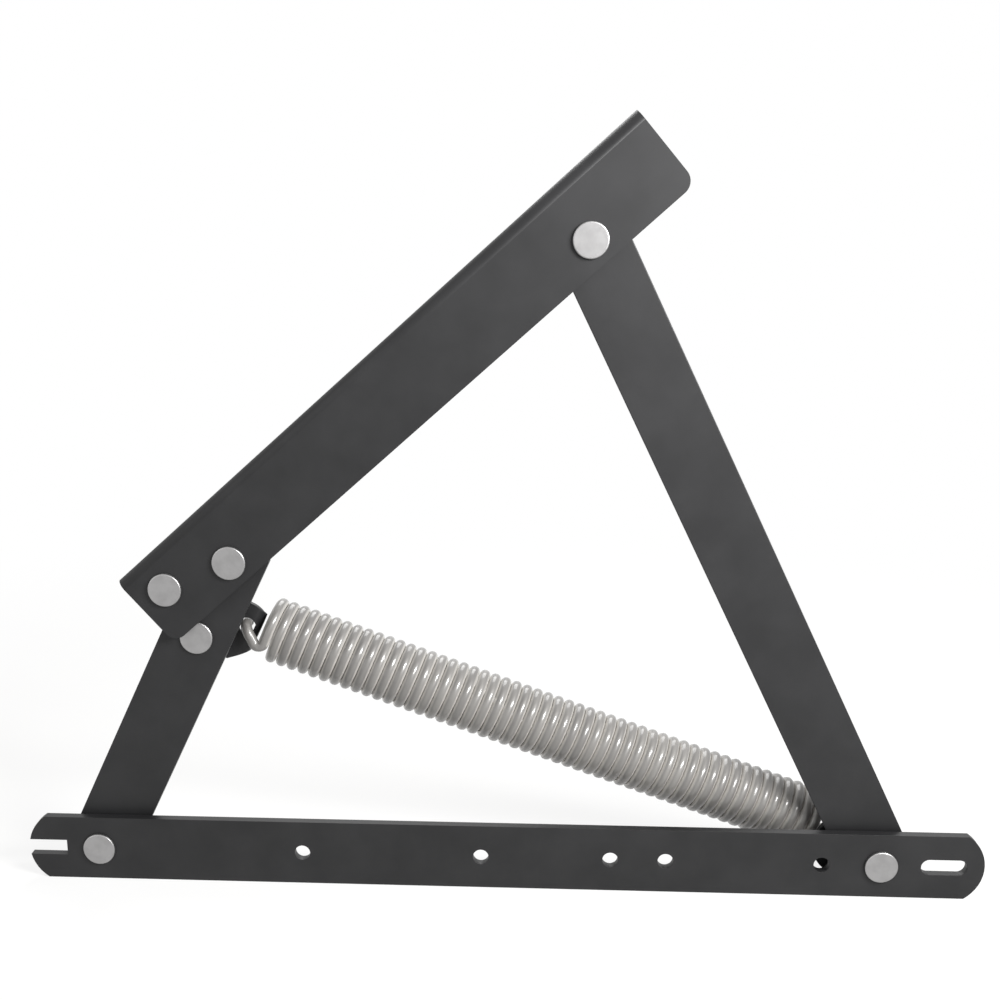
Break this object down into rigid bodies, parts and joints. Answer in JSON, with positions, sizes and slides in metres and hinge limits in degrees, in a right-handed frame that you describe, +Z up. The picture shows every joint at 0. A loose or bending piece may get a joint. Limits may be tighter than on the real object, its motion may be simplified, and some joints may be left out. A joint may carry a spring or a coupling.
{
  "type": "spring lift mechanism",
  "caption": "Spring-assisted four-bar lift mechanism: base bar, short and long links, angle-section lift arm and a tension spring, drawn open.",
  "frame": {"origin": "middle of the first and fourth screw holes of the base bar, on its front face", "axes": "+X along the base bar towards the long link, +Y from the front face to the back where the spring is, +Z up"},
  "size_m": [0.4881, 0.0524, 0.3763],
  "materials": {
    "black_coat": "matte black powder coat on flat steel",
    "rivet_zinc": "satin zinc-plated steel",
    "spring_wire": "bright spring steel wire, light oil gloss",
    "nylon": "dark nylon"
  },
  "bodies": {
    "base": {"base_bar": "black_coat", "short_link_base_rivet": "rivet_zinc", "long_link_base_rivet": "rivet_zinc", "short_link_base_spacer": "nylon", "long_link_base_spacer": "nylon", "short_link_base_washer": "rivet_zinc", "long_link_base_washer": "rivet_zinc"},
    "short_link": {"short_link": "black_coat", "spring_bracket": "black_coat", "bracket_rivet": "rivet_zinc"},
    "lift_arm": {"lift_arm": "black_coat", "stop_rivet": "rivet_zinc", "stop_bush": "nylon", "short_link_arm_rivet": "rivet_zinc", "long_link_arm_rivet_head": "rivet_zinc", "short_link_arm_spacer": "nylon", "long_link_arm_spacer": "nylon"},
    "long_link": {"long_link": "black_coat", "long_link_arm_rivet_tail": "rivet_zinc", "long_link_arm_washer": "rivet_zinc"},
    "spring_anchor": {"anchor_plate": "black_coat", "spring_post": "rivet_zinc"},
    "spring": {"lift_spring": "spring_wire"}
  },
  "joints": [
    {"name": "lift_fold", "type": "hinge", "parent": "base", "child": "short_link", "pos_m": [-0.199, 0, 0], "axis": [0, -1, 0], "range_deg": [0, 106.07], "stiffness_Nm_per_rad": 68, "springref_deg": -8.59},
    {"name": "arm_pivot", "type": "hinge", "parent": "short_link", "child": "lift_arm", "pos_m": [-0.12426, 0, 0.15324], "axis": [0, -1, 0], "range_deg": [-147.5, 0]},
    {"name": "long_link_pivot", "type": "hinge", "parent": "base", "child": "long_link", "pos_m": [0.201, 0, 0], "axis": [0, -1, 0], "range_deg": [0, 58.21]},
    {"name": "anchor_pivot", "type": "hinge", "parent": "base", "child": "spring_anchor", "pos_m": [0.201, 0, 0], "axis": [0, -1, 0], "range_deg": [0, 14.95]},
    {"name": "spring_stretch", "type": "slide", "parent": "spring_anchor", "child": "spring", "axis": [-0.9426, 0, 0.3339], "range_m": [0, 0.19062], "deforming": ["lift_spring"]}
  ],
  "couplings": [
    {"joint": "arm_pivot", "follows": "lift_fold", "ratio": -1.3904},
    {"joint": "long_link_pivot", "follows": "lift_fold", "ratio": 0.54858},
    {"joint": "anchor_pivot", "follows": "lift_fold", "ratio": 0.14079},
    {"joint": "spring_stretch", "follows": "lift_fold", "m_per_rad": 0.10286}
  ]
}
